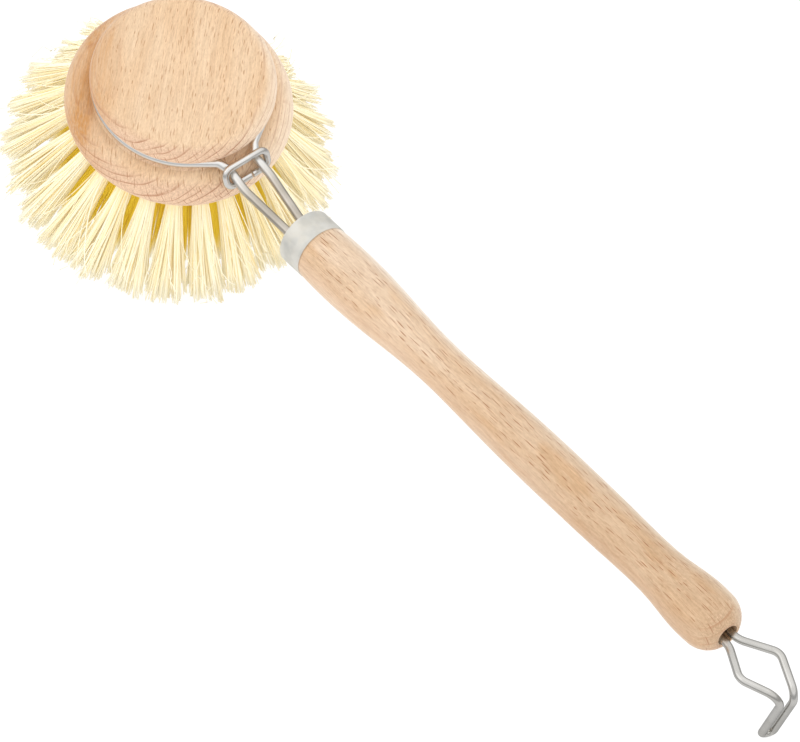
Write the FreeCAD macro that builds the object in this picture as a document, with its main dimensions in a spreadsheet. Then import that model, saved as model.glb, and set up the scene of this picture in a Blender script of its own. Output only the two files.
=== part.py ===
import FreeCAD, Part
import math
import os
import Sketcher

V = FreeCAD.Vector
os.makedirs("parts", exist_ok=True)

doc = FreeCAD.newDocument("DishBrush")

# ---------------------------------------------------------------------------
# Driving dimensions, millimetres and degrees.
# Head frame: origin at the middle of the wire ring, +X towards the handle,
# +Z along the head axis towards the cap.  Handle frame: local Z runs along the
# handle from the front of the ferrule, local X points to the bristle side.
# ---------------------------------------------------------------------------
sheet = doc.addObject("Spreadsheet::Sheet", "Params")
row_number = [0]


def put(alias, value):
    row_number[0] += 1
    cell = "B%d" % row_number[0]
    sheet.set("A%d" % row_number[0], alias)
    sheet.set(cell, repr(float(value)))
    sheet.setAlias(cell, alias)


# lay of the whole brush: it rests on the tips of the bristles and of the hook
put("rest_tilt", 19.2671)
put("shift_x", -75.7345)
put("shift_z", 41.634)

# turned head block: profile radius / height pairs and blend radii
put("head_bottom_z", -13.0)
put("head_under_r", 20.5)
put("head_under_z", -11.4)
put("head_rim_r", 25.0)
put("head_rim_z", -6.9)
put("head_rim_round", 4.5)
put("head_shoulder_r", 19.9)
put("head_shoulder_z", -1.9)
put("head_shoulder_round", 5.15)
put("groove_lip_r", 18.85)
put("groove_lip_z", 1.1456)
put("groove_round", 1.15)
put("cap_under_r", 19.5)
put("cap_under_z", 1.25)
put("cap_edge_r", 20.3)
put("cap_edge_z", 2.4)
put("cap_edge_round", 1.15)
put("cap_top_r", 16.4)
put("cap_top_z", 6.4)
put("cap_top_round", 3.96)
put("head_dome_round", 150.8)

# drilled holes and the bundles in them, ring by ring
put("hole_radius", 1.8)
put("bundle_root_radius", 1.74)
put("bundle_sink", 5.0)
put("bundle_chamfer", 1.0)
put("anchor_width", 3.3)
put("anchor_height", 1.1)
put("anchor_thick", 0.45)
RINGS = ["one", "two", "three", "four"]
ring_values = {
    #         root r  root z  splay  depth  length tip r  number
    "one":   (20.4, -11.55, 35.0, 6.6, 24.2, 3.9, 24),
    "two":   (15.0, -12.20, 22.0, 7.0, 24.4, 3.9, 17),
    "three": (9.4, -12.70, 12.0, 7.0, 24.0, 3.6, 11),
    "four":  (4.3, -12.94, 4.0, 7.0, 23.8, 3.1, 5),
}
for ring in RINGS:
    r0, z0, splay, depth, length, tip, number = ring_values[ring]
    put("ring_%s_radius" % ring, r0)
    put("ring_%s_height" % ring, z0)
    put("ring_%s_splay" % ring, splay)
    put("ring_%s_depth" % ring, depth)
    put("ring_%s_length" % ring, length)
    put("ring_%s_tip" % ring, tip)
    put("ring_%s_count" % ring, number)
put("ring_turn", 7.5)

# spring wire holder
put("holder_wire_radius", 1.0)
put("ring_wire_radius", 18.95)
put("throat_x", 19.5)
put("throat_y", 4.8)
put("arm_start_x", 22.2)
put("arm_start_y", 3.25)
put("arm_start_z", -0.92)
put("arm_bow_x", 27.4)
put("arm_bow_y", 3.5)
put("arm_bow_z", -1.2)
put("arm_end_y", 1.72)
put("arm_end_off", 0.37)
put("arm_end_back", 1.0)
put("leg_depth", 36.0)

# sliding lock link
put("link_wire_radius", 0.8)
put("link_half_width", 5.45)
put("link_half_height", 2.32)
put("link_corner", 1.75)
put("link_gap", 0.5)
put("link_gap_offset", 0.9)
put("link_x", 23.5)
put("link_z", -0.97)
put("link_lean", 27.0)

# handle frame: centre of the ferrule's front in the head frame, and its rise
put("handle_x", 43.97)
put("handle_z", 0.34)
put("handle_rise", 16.69)

# ferrule
put("ferrule_radius", 6.58)
put("ferrule_wall", 0.40)
put("ferrule_length", 6.33)
put("ferrule_edge", 0.15)

# handle: spigot under the ferrule, turned profile, end and bores
put("spigot_radius", 6.15)
put("spigot_start", 0.35)
put("leg_hole_radius", 1.03)
put("leg_hole_depth", 37.0)
stations = [
    (6.33, 6.42), (12.0, 6.64), (18.0, 6.62), (25.0, 6.32), (32.0, 5.79), (39.0, 5.27),
    (47.0, 4.99), (56.0, 5.16), (66.0, 5.49), (78.0, 5.72), (90.0, 5.69), (102.0, 5.54),
    (111.0, 5.34), (116.0, 5.44), (120.5, 5.88), (125.0, 6.42), (128.0, 6.56), (130.3, 6.50),
]
for k, (sv, rv) in enumerate(stations):
    put("station_%02d_at" % k, sv)
    put("station_%02d_radius" % k, rv)
put("end_at", 135.8)
put("end_face_radius", 2.9)
put("end_round", 5.9)
put("bore_radius", 2.4)
put("bore_depth", 22.0)

# hairpin hanging hook, in the handle frame
put("hook_wire_radius", 0.84)
put("hook_leg_start", 116.5)
put("hook_leg_y", 1.42)
put("hook_leg_off", 0.2)
put("hook_exit_at", 137.5)
put("hook_exit_y", 1.15)
put("hook_exit_off", 0.55)
put("hook_vertex_at", 145.2)
put("hook_vertex_y", 5.35)
put("hook_vertex_off", 0.45)
put("hook_bend_at", 154.19)
put("hook_bend_y", 1.45)
put("hook_bend_off", 2.1)
put("hook_vertex_y_left", 4.95)
put("hook_vertex_at_left", 144.85)
put("hook_bend_y_left", 0.95)
put("hook_tip_y_left", 0.95)
put("hook_tip_at", 148.9)
put("hook_tip_y", 1.45)
put("hook_tip_off", 18.85)
put("hook_bend_at_left", 153.332)
put("hook_bend_off_left", 1.829)
put("hook_tip_at_left", 148.042)
put("hook_tip_off_left", 18.579)

doc.recompute()


def val(alias):
    return float(sheet.get(alias))


def cell(alias):
    return "Params." + alias


rest = FreeCAD.Placement(V(val("shift_x"), 0, val("shift_z")),
                         FreeCAD.Rotation(V(0, 1, 0), val("rest_tilt")))
head_place = rest.multiply(FreeCAD.Placement(V(0, 0, 0), FreeCAD.Rotation(V(0, 0, 1), val("ring_turn"))))
handle_local = FreeCAD.Placement(V(val("handle_x"), 0, val("handle_z")),
                                 FreeCAD.Rotation(V(0, 1, 0), 90.0 - val("handle_rise")))
handle_place = rest.multiply(handle_local)


# ---------------------------------------------------------------------------
# Helpers
# ---------------------------------------------------------------------------
def origin_part(body, role):
    for feature in body.Origin.OriginFeatures:
        if feature.Role == role:
            return feature
    raise RuntimeError("no " + role)


def new_body(label, placement):
    body = doc.addObject("PartDesign::Body", label)
    body.Label = label
    body.Placement = placement
    return body


def new_sketch(body, name, role):
    sketch = body.newObject("Sketcher::SketchObject", name)
    sketch.AttachmentSupport = [(origin_part(body, role), "")]
    sketch.MapMode = "FlatFace"
    return sketch


def bind_point(sketch, geo, pos, xa, ya):
    """Hold one sketch point at the coordinates in two cells (None is the axis)."""
    for kind, alias, axis in (("DistanceX", xa, -2), ("DistanceY", ya, -1)):
        if alias is None:
            sketch.addConstraint(Sketcher.Constraint("PointOnObject", geo, pos, axis))
        else:
            index = sketch.addConstraint(Sketcher.Constraint(kind, -1, 1, geo, pos, expr_value(alias)))
            sketch.setExpression("Constraints[%d]" % index, expr_text(alias))


def expr_text(alias):
    """Alias -> expression.  A leading minus turns the sign; a plus joins two."""
    if isinstance(alias, tuple):
        return " + ".join(expr_text(part) for part in alias)
    if alias.startswith("-"):
        return "-" + cell(alias[1:])
    return cell(alias)


def expr_value(alias):
    if isinstance(alias, tuple):
        return sum(expr_value(part) for part in alias)
    if alias.startswith("-"):
        return -val(alias[1:])
    return val(alias)


def coord(alias):
    return 0.0 if alias is None else expr_value(alias)


def profile(sketch, points, segments):
    """Closed outline.  points: (x alias, y alias); segments: None for a line or
    (radius alias, turn) for an arc, turn +1 when it runs anticlockwise."""
    n = len(points)
    ends = []
    for i in range(n):
        a = V(coord(points[i][0]), coord(points[i][1]), 0)
        b = V(coord(points[(i + 1) % n][0]), coord(points[(i + 1) % n][1]), 0)
        if segments[i] is None:
            geo = sketch.addGeometry(Part.LineSegment(a, b), False)
            ends.append((geo, 1, 2))
            continue
        radius, turn = val(segments[i][0]), segments[i][1]
        chord = b - a
        half = chord.Length / 2.0
        rise = math.sqrt(max(radius * radius - half * half, 0.0))
        left = V(-chord.y, chord.x, 0).normalize()
        centre = (a + b) * 0.5 + left * (rise * turn)
        first, last = (a, b) if turn > 0 else (b, a)
        t0 = math.atan2(first.y - centre.y, first.x - centre.x)
        t1 = math.atan2(last.y - centre.y, last.x - centre.x)
        if t1 < t0:
            t1 += 2 * math.pi
        geo = sketch.addGeometry(Part.ArcOfCircle(Part.Circle(centre, V(0, 0, 1), radius), t0, t1), False)
        ends.append((geo, 1, 2) if turn > 0 else (geo, 2, 1))
    for i in range(n):
        geo, start, finish = ends[i]
        nxt = ends[(i + 1) % n]
        sketch.addConstraint(Sketcher.Constraint("Coincident", geo, finish, nxt[0], nxt[1]))
    for i in range(n):
        geo, start, finish = ends[i]
        bind_point(sketch, geo, start, points[i][0], points[i][1])
        if segments[i] is not None:
            index = sketch.addConstraint(Sketcher.Constraint("Radius", geo, val(segments[i][0])))
            sketch.setExpression("Constraints[%d]" % index, cell(segments[i][0]))


def circle_sketch(body, name, role, radius_alias, at_alias=None, x_alias=None, y_alias=None):
    sketch = new_sketch(body, name, role)
    if at_alias is not None:
        sketch.AttachmentOffset = FreeCAD.Placement(V(0, 0, expr_value(at_alias)), FreeCAD.Rotation())
        sketch.setExpression("AttachmentOffset.Base.z", expr_text(at_alias))
    geo = sketch.addGeometry(Part.Circle(V(coord(x_alias), coord(y_alias), 0), V(0, 0, 1), val(radius_alias)), False)
    if x_alias is None and y_alias is None:
        sketch.addConstraint(Sketcher.Constraint("Coincident", geo, 3, -1, 1))
    else:
        bind_point(sketch, geo, 3, x_alias, y_alias)
    index = sketch.addConstraint(Sketcher.Constraint("Radius", geo, val(radius_alias)))
    sketch.setExpression("Constraints[%d]" % index, cell(radius_alias))
    return sketch


def lean_into_ring(sketch, ring):
    """Turn a sketch on the XZ plane so that its V axis is a bundle's own axis."""
    sketch.AttachmentOffset = FreeCAD.Placement(
        V(val("ring_%s_radius" % ring), val("ring_%s_height" % ring), 0),
        FreeCAD.Rotation(V(0, 0, 1), 180.0 + val("ring_%s_splay" % ring)))
    sketch.setExpression("AttachmentOffset.Base.x", cell("ring_%s_radius" % ring))
    sketch.setExpression("AttachmentOffset.Base.y", cell("ring_%s_height" % ring))
    sketch.setExpression("AttachmentOffset.Rotation.Angle", "180 deg + 1 deg * " + cell("ring_%s_splay" % ring))


def turned(body, name, sketch, kind="PartDesign::Revolution"):
    feature = body.newObject(kind, name)
    feature.Profile = sketch
    feature.ReferenceAxis = (sketch, ["V_Axis"])
    feature.Angle = 360.0
    return feature


def ring_pattern(body, name, feature, ring):
    pattern = body.newObject("PartDesign::PolarPattern", name)
    pattern.Originals = [feature]
    pattern.Axis = (origin_part(body, "Z_Axis"), [""])
    pattern.Angle = 360.0
    pattern.Occurrences = int(val("ring_%s_count" % ring))
    pattern.setExpression("Occurrences", cell("ring_%s_count" % ring))
    body.Tip = pattern
    return pattern


def rounded_path(points, radii):
    """Edges of straight runs joined by tangent arcs at the inner points."""
    edges = []
    start = points[0]
    for i in range(1, len(points) - 1):
        a, b, c = points[i - 1], points[i], points[i + 1]
        u = (a - b).normalize()
        w = (c - b).normalize()
        turn = math.pi - u.getAngle(w)
        back = radii[i] * math.tan(turn / 2.0)
        p, q = b + u * back, b + w * back
        to_centre = (u + w).normalize()
        centre = b + to_centre * (radii[i] / math.cos(turn / 2.0))
        middle = centre - to_centre * radii[i]
        edges.append(Part.LineSegment(start, p).toShape())
        edges.append(Part.Arc(p, middle, q).toShape())
        start = q
    edges.append(Part.LineSegment(start, points[-1]).toShape())
    return edges


def bent_wire(label, edges, radius_alias, placement):
    """A round wire swept along a path of straight runs and arcs."""
    path = doc.addObject("Part::Feature", label + "_path")
    wire = Part.Wire(edges)
    path.Shape = wire
    first = edges[0]
    tangent = first.tangentAt(first.FirstParameter)
    section = doc.addObject("Part::Circle", label + "_section")
    section.setExpression("Radius", cell(radius_alias))
    section.Placement = FreeCAD.Placement(first.valueAt(first.FirstParameter),
                                          FreeCAD.Rotation(V(0, 0, 1), tangent))
    sweep = doc.addObject("Part::Sweep", label)
    sweep.Label = label
    sweep.Sections = [section]
    sweep.Spine = (path, ["Edge%d" % (i + 1) for i in range(len(edges))])
    sweep.Solid = True
    sweep.Frenet = False
    doc.recompute()
    sweep.Placement = placement
    expected = math.pi * val(radius_alias) ** 2 * wire.Length
    if abs(sweep.Shape.Volume - expected) > 0.02 * expected:
        raise RuntimeError("%s volume %.2f, expected %.2f" % (label, sweep.Shape.Volume, expected))
    return sweep


parts = []

# ---------------------------------------------------------------------------
# Head block: one turned block, carried as two pieces that meet at the lower lip of
# the groove.  The lower disc has splayed blind holes drilled in its domed underside;
# the cap on it has the groove for the wire ring.
# ---------------------------------------------------------------------------
cap = new_body("head_cap", head_place)
cap_outline = new_sketch(cap, "CapOutline", "XZ_Plane")
profile(cap_outline, [
    (None, "-groove_lip_z"), ("groove_lip_r", "-groove_lip_z"), ("groove_lip_r", "groove_lip_z"),
    ("cap_under_r", "cap_under_z"), ("cap_edge_r", "cap_edge_z"), ("cap_top_r", "cap_top_z"), (None, "cap_top_z"),
], [
    None, ("groove_round", -1), None, ("cap_edge_round", 1), ("cap_top_round", 1), None, None,
])
turned(cap, "CapTurning", cap_outline)
doc.recompute()
parts.append(cap)

head = new_body("head_block", head_place)
outline = new_sketch(head, "HeadOutline", "XZ_Plane")
profile(outline, [
    (None, "head_bottom_z"), ("head_under_r", "head_under_z"), ("head_rim_r", "head_rim_z"),
    ("head_shoulder_r", "head_shoulder_z"), ("groove_lip_r", "-groove_lip_z"), (None, "-groove_lip_z"),
], [
    ("head_dome_round", 1), ("head_rim_round", 1), ("head_shoulder_round", 1), None, None, None,
])
turned(head, "HeadTurning", outline)
doc.recompute()
volume = head.Shape.Volume
for ring in RINGS:
    drill = new_sketch(head, "Drill_" + ring, "XZ_Plane")
    lean_into_ring(drill, ring)
    put_depth = "-ring_%s_depth" % ring
    profile(drill, [(None, put_depth), ("hole_radius", put_depth), ("hole_radius", "hole_radius"), (None, "hole_radius")],
            [None, None, None, None])
    hole = turned(head, "Hole_" + ring, drill, "PartDesign::Groove")
    doc.recompute()
    ring_pattern(head, "Holes_" + ring, hole, ring)
    doc.recompute()
    cut = volume - head.Shape.Volume
    volume = head.Shape.Volume
    one = math.pi * val("hole_radius") ** 2 * val("ring_%s_depth" % ring)
    if cut < 0.8 * one * val("ring_%s_count" % ring):
        raise RuntimeError("holes of ring %s cut only %.1f" % (ring, cut))
parts.append(head)

# ---------------------------------------------------------------------------
# Fibre bundles: one plain closed body per hole, narrow in the hole and fanning
# out to the trimmed tips; a flat wire anchor sits under each one.
# ---------------------------------------------------------------------------
NAMES = {"one": "outer", "two": "second", "three": "third", "four": "inner"}
for ring in RINGS:
    bundle = new_body("tufts_" + NAMES[ring], head_place)
    bundle.AllowCompound = True
    shape = new_sketch(bundle, "Bundle_" + ring, "XZ_Plane")
    lean_into_ring(shape, ring)
    length = "ring_%s_length" % ring
    tip = "ring_%s_tip" % ring
    profile(shape, [(None, "-bundle_sink"), ("bundle_root_radius", "-bundle_sink"),
                    ("bundle_root_radius", "bundle_root_radius"), (tip, (length, "-bundle_chamfer")),
                    ((tip, "-bundle_chamfer"), length), (None, length)],
            [None, None, None, None, None, None])
    spun = turned(bundle, "Spun_" + ring, shape)
    doc.recompute()
    ring_pattern(bundle, "Ring_" + ring, spun, ring)
    parts.append(bundle)

    anchor = new_body("anchors_" + NAMES[ring], head_place)
    anchor.AllowCompound = True
    plate = new_sketch(anchor, "Plate_" + ring, "XZ_Plane")
    lean_into_ring(plate, ring)
    wide, high, deep = val("anchor_width") / 2, val("anchor_height"), val("ring_%s_depth" % ring)
    low, top = -deep + 0.05, -deep + 0.05 + high
    corners = [V(-wide, low, 0), V(wide, low, 0), V(wide, top, 0), V(-wide, top, 0)]
    for i in range(4):
        plate.addGeometry(Part.LineSegment(corners[i], corners[(i + 1) % 4]), False)
    for i in range(4):
        plate.addConstraint(Sketcher.Constraint("Coincident", i, 2, (i + 1) % 4, 1))
    plate.addConstraint(Sketcher.Constraint("Horizontal", 2))
    plate.addConstraint(Sketcher.Constraint("Symmetric", 0, 1, 0, 2, -2))
    plate.addConstraint(Sketcher.Constraint("Vertical", 1))
    plate.addConstraint(Sketcher.Constraint("Vertical", 3))
    index = plate.addConstraint(Sketcher.Constraint("DistanceX", 0, 1, 0, 2, 2 * wide))
    plate.setExpression("Constraints[%d]" % index, cell("anchor_width"))
    index = plate.addConstraint(Sketcher.Constraint("DistanceY", 1, 1, 1, 2, high))
    plate.setExpression("Constraints[%d]" % index, cell("anchor_height"))
    index = plate.addConstraint(Sketcher.Constraint("DistanceY", -1, 1, 0, 1, low))
    plate.setExpression("Constraints[%d]" % index, "0.05 - " + cell("ring_%s_depth" % ring))
    pad = anchor.newObject("PartDesign::Pad", "Anchor_" + ring)
    pad.Profile = plate
    pad.Midplane = True
    pad.Length = val("anchor_thick")
    pad.setExpression("Length", cell("anchor_thick"))
    doc.recompute()
    ring_pattern(anchor, "Anchors_" + ring, pad, ring)
    parts.append(anchor)
doc.recompute()

# ---------------------------------------------------------------------------
# Spring wire holder: one wire, from a leg in the handle along an arm, round the
# groove of the head and back along the other arm.
# ---------------------------------------------------------------------------
to_head = handle_local
leg_y, leg_off = val("arm_end_y"), val("arm_end_off")
leg_end = to_head.multVec(V(leg_off, leg_y, val("leg_depth")))
arm_end = to_head.multVec(V(leg_off, leg_y, -val("arm_end_back")))
arm_bow = V(val("arm_bow_x"), val("arm_bow_y"), val("arm_bow_z"))
arm_start = V(val("arm_start_x"), val("arm_start_y"), val("arm_start_z"))
throat = V(val("throat_x"), val("throat_y"), 0)
ring_r = val("ring_wire_radius")
reach = math.sqrt(throat.x ** 2 + throat.y ** 2 - ring_r ** 2)
phi = math.atan2(throat.y, throat.x) + math.atan2(reach, ring_r)
leave = V(ring_r * math.cos(phi), ring_r * math.sin(phi), 0)
side = [leg_end, arm_end, arm_bow, arm_start, throat, leave]
bends = [0, 5.0, 12.0, 2.4, 1.7, 0]


def mirrored(points):
    return [V(p.x, -p.y, p.z) for p in points]


holder_edges = rounded_path(side, bends)
holder_edges.append(Part.Arc(leave, V(-ring_r, 0, 0), V(leave.x, -leave.y, 0)).toShape())
holder_edges += rounded_path(list(reversed(mirrored(side))), list(reversed(bends)))
holder = bent_wire("wire_holder", holder_edges, "holder_wire_radius", rest)
parts.append(holder)

# ---------------------------------------------------------------------------
# Lock link: a rounded rectangle of thinner wire round both arms, its cut ends
# butted under the arms.  It slides along the arms, which bow out a little and then
# close in to the handle.
# ---------------------------------------------------------------------------
hw, hh, rc = val("link_half_width"), val("link_half_height"), val("link_corner")
gap, off = val("link_gap") / 2, val("link_gap_offset")
link_points = [V(0, off - gap, -hh), V(0, -hw, -hh), V(0, -hw, hh), V(0, hw, hh), V(0, hw, -hh), V(0, off + gap, -hh)]
link_edges = rounded_path(link_points, [0, rc, rc, rc, rc, 0])
link_place = rest.multiply(FreeCAD.Placement(V(val("link_x"), 0, val("link_z")),
                                             FreeCAD.Rotation(V(0, 1, 0), -val("link_lean"))))
link = bent_wire("lock_link", link_edges, "link_wire_radius", link_place)
parts.append(link)

# ---------------------------------------------------------------------------
# Ferrule: a thin sheet sleeve over the spigot at the front of the handle.
# ---------------------------------------------------------------------------
ferrule = new_body("ferrule", handle_place)
sleeve = new_sketch(ferrule, "Sleeve", "XY_Plane")
outer_circle = sleeve.addGeometry(Part.Circle(V(0, 0, 0), V(0, 0, 1), val("ferrule_radius")), False)
inner_circle = sleeve.addGeometry(Part.Circle(V(0, 0, 0), V(0, 0, 1), val("ferrule_radius") - val("ferrule_wall")), False)
sleeve.addConstraint(Sketcher.Constraint("Coincident", outer_circle, 3, -1, 1))
sleeve.addConstraint(Sketcher.Constraint("Coincident", inner_circle, 3, -1, 1))
index = sleeve.addConstraint(Sketcher.Constraint("Radius", outer_circle, val("ferrule_radius")))
sleeve.setExpression("Constraints[%d]" % index, cell("ferrule_radius"))
index = sleeve.addConstraint(Sketcher.Constraint("Radius", inner_circle, val("ferrule_radius") - val("ferrule_wall")))
sleeve.setExpression("Constraints[%d]" % index, cell("ferrule_radius") + " - " + cell("ferrule_wall"))
tube = ferrule.newObject("PartDesign::Pad", "Tube")
tube.Profile = sleeve
tube.Length = val("ferrule_length")
tube.setExpression("Length", cell("ferrule_length"))
doc.recompute()
rims = []
for i, edge in enumerate(tube.Shape.Edges):
    if isinstance(edge.Curve, Part.Circle) and abs(edge.Curve.Radius - val("ferrule_radius")) < 1e-4 and edge.Length > 10:
        rims.append("Edge%d" % (i + 1))
soft = ferrule.newObject("PartDesign::Fillet", "SoftRims")
soft.Base = (tube, rims)
soft.Radius = val("ferrule_edge")
soft.setExpression("Radius", cell("ferrule_edge"))
doc.recompute()
parts.append(ferrule)

# ---------------------------------------------------------------------------
# Handle: turned wood, a slim waist behind the ferrule and a bulb at the end.
# ---------------------------------------------------------------------------
handle = new_body("handle", handle_place)
rounds = []
for k in range(len(stations)):
    rounds.append(circle_sketch(handle, "Round_%02d" % k, "XY_Plane", "station_%02d_radius" % k, "station_%02d_at" % k))
grip = handle.newObject("PartDesign::AdditiveLoft", "Grip")
grip.Profile = rounds[0]
grip.Sections = rounds[1:]
grip.Ruled = False
doc.recompute()
last = "station_%02d" % (len(stations) - 1)
dome = new_sketch(handle, "EndOutline", "XZ_Plane")
profile(dome, [(None, last + "_at"), (last + "_radius", last + "_at"), ("end_face_radius", "end_at"), (None, "end_at")],
        [None, ("end_round", 1), None, None])
turned(handle, "RoundedEnd", dome)
doc.recompute()
front = circle_sketch(handle, "SpigotRound", "XY_Plane", "spigot_radius", "spigot_start")
spigot = handle.newObject("PartDesign::Pad", "Spigot")
spigot.Profile = front
spigot.Length = val("ferrule_length") - val("spigot_start")
spigot.setExpression("Length", cell("ferrule_length") + " - " + cell("spigot_start"))
doc.recompute()
volume = handle.Shape.Volume
for name, sign in (("Left", ""), ("Right", "-")):
    ring_hole = circle_sketch(handle, "LegRound" + name, "XY_Plane", "leg_hole_radius", "spigot_start", "arm_end_off", sign + "arm_end_y")
    leg_hole = handle.newObject("PartDesign::Pocket", "LegHole" + name)
    leg_hole.Profile = ring_hole
    leg_hole.Reversed = True
    leg_hole.Length = val("leg_hole_depth")
    leg_hole.setExpression("Length", cell("leg_hole_depth"))
    doc.recompute()
bore_round = circle_sketch(handle, "BoreRound", "XY_Plane", "bore_radius", "end_at")
bore = handle.newObject("PartDesign::Pocket", "Bore")
bore.Profile = bore_round
bore.Length = val("bore_depth")
bore.setExpression("Length", cell("bore_depth"))
doc.recompute()
expected = 2 * math.pi * val("leg_hole_radius") ** 2 * val("leg_hole_depth") + math.pi * val("bore_radius") ** 2 * val("bore_depth")
if abs((volume - handle.Shape.Volume) - expected) > 0.03 * expected:
    raise RuntimeError("handle bores cut %.2f, expected %.2f" % (volume - handle.Shape.Volume, expected))
parts.append(handle)

# ---------------------------------------------------------------------------
# Hanging hook: a hairpin whose legs spring apart in the rear bore, opened to a
# diamond and bent down to a narrow hook.
# ---------------------------------------------------------------------------


def hook_side(left):
    """Leg, exit, diamond corner, bend and tip of one side; the left side is drawn
    a little tighter than the right."""
    sign = -1.0 if left else 1.0
    tail = "_left" if left else ""
    return [V(val("hook_leg_off"), sign * val("hook_leg_y"), val("hook_leg_start")),
            V(val("hook_exit_off"), sign * val("hook_exit_y"), val("hook_exit_at")),
            V(val("hook_vertex_off"), sign * val("hook_vertex_y" + tail), val("hook_vertex_at" + tail)),
            V(val("hook_bend_off" + tail), sign * val("hook_bend_y" + tail), val("hook_bend_at" + tail)),
            V(val("hook_tip_off" + tail), sign * val("hook_tip_y" + tail), val("hook_tip_at" + tail))]


right_side, left_side = hook_side(False), hook_side(True)
hook_bends = [0, 6.0, 3.0, 2.5, 0]
hook_bends_left = [0, 6.0, 3.0, 3.4, 0]
hook_edges = rounded_path(right_side, hook_bends)
along = (right_side[-1] - right_side[-2]).normalize()
middle = (right_side[-1] + left_side[-1]) * 0.5
half_gap = (right_side[-1] - left_side[-1]).Length / 2.0
hook_edges.append(Part.Arc(right_side[-1], middle + along * half_gap, left_side[-1]).toShape())
hook_edges += rounded_path(list(reversed(left_side)), list(reversed(hook_bends_left)))
hook = bent_wire("hanging_hook", hook_edges, "hook_wire_radius", handle_place)
parts.append(hook)

doc.recompute()

# ---------------------------------------------------------------------------
# Check every object, then write one file per piece.
# ---------------------------------------------------------------------------
for item in doc.Objects:
    if "Invalid" in item.State or "Error" in item.State:
        raise RuntimeError("%s failed: %s" % (item.Name, item.State))
for item in parts:
    if item.Shape.isNull() or not item.Shape.isValid():
        raise RuntimeError("%s has no valid shape" % item.Label)
for item in parts:
    item.Shape.exportStep("parts/%s.step" % item.Label)
    box = item.Shape.BoundBox
    print("%-16s solids %3d volume %10.2f  x %.2f..%.2f y %.2f..%.2f z %.2f..%.2f" % (
        item.Label, len(item.Shape.Solids), item.Shape.Volume,
        box.XMin, box.XMax, box.YMin, box.YMax, box.ZMin, box.ZMax))
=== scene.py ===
import math

import bpy
import numpy as np
from mathutils import Matrix, Vector


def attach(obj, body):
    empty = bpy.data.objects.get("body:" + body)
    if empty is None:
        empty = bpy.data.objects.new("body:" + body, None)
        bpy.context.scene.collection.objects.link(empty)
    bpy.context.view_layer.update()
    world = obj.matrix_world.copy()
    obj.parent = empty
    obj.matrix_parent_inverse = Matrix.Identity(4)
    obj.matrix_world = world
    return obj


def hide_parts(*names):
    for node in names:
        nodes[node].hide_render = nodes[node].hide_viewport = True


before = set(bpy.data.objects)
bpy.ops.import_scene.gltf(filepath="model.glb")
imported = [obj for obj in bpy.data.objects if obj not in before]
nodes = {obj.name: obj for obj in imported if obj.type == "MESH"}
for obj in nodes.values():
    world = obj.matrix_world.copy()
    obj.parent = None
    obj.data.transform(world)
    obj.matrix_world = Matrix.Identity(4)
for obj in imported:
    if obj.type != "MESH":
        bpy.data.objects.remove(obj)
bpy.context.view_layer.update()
scene = bpy.context.scene

MM = 0.001

# ---------------------------------------------------------------------------
# Frames.  Head frame: origin in the middle of the wire ring, +Z along the head
# axis, +X towards the handle.  The brush lies on its bristle tips and its hook.
# ---------------------------------------------------------------------------
TILT = math.radians(19.2671)
SHIFT = np.array([-75.7345, 0.0, 41.634])
TURN = np.array([[math.cos(TILT), 0.0, math.sin(TILT)],
                 [0.0, 1.0, 0.0],
                 [-math.sin(TILT), 0.0, math.cos(TILT)]])


def head_to_row(p):
    """Head frame, millimetres -> row frame, metres."""
    return (p @ TURN.T + SHIFT) * MM


def head_dir(x, y, z):
    v = TURN @ np.array([x, y, z], float)
    return tuple(float(c) for c in v / np.linalg.norm(v))


# ---------------------------------------------------------------------------
# Camera
# ---------------------------------------------------------------------------
cam_data = bpy.data.cameras.new("camera")
cam_data.sensor_fit = "HORIZONTAL"
cam_data.sensor_width = 36.0
cam_data.lens = 36.0 * 3951.2283 / 800.0
cam_data.clip_start = 0.01
cam_data.clip_end = 50.0
cam = bpy.data.objects.new("camera", cam_data)
scene.collection.objects.link(cam)
c_right = Vector((0.6187753, 0.7833249, -0.0593223))
c_up = Vector((-0.5618474, 0.4940698, 0.6634927))
c_back = Vector((0.5490397, -0.3772228, 0.7458273))
c_at = Vector((0.4561851, -0.3153312, 0.6341655))
cam.matrix_world = Matrix((
    (c_right.x, c_up.x, c_back.x, c_at.x),
    (c_right.y, c_up.y, c_back.y, c_at.y),
    (c_right.z, c_up.z, c_back.z, c_at.z),
    (0, 0, 0, 1)))
scene.camera = cam


# ---------------------------------------------------------------------------
# Node helper
# ---------------------------------------------------------------------------
def lin(r, g, b):
    """sRGB 0-255 -> linear colour with alpha."""
    out = []
    for c in (r, g, b):
        c = c / 255.0
        out.append(c / 12.92 if c <= 0.04045 else ((c + 0.055) / 1.055) ** 2.4)
    return (*out, 1.0)


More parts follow.
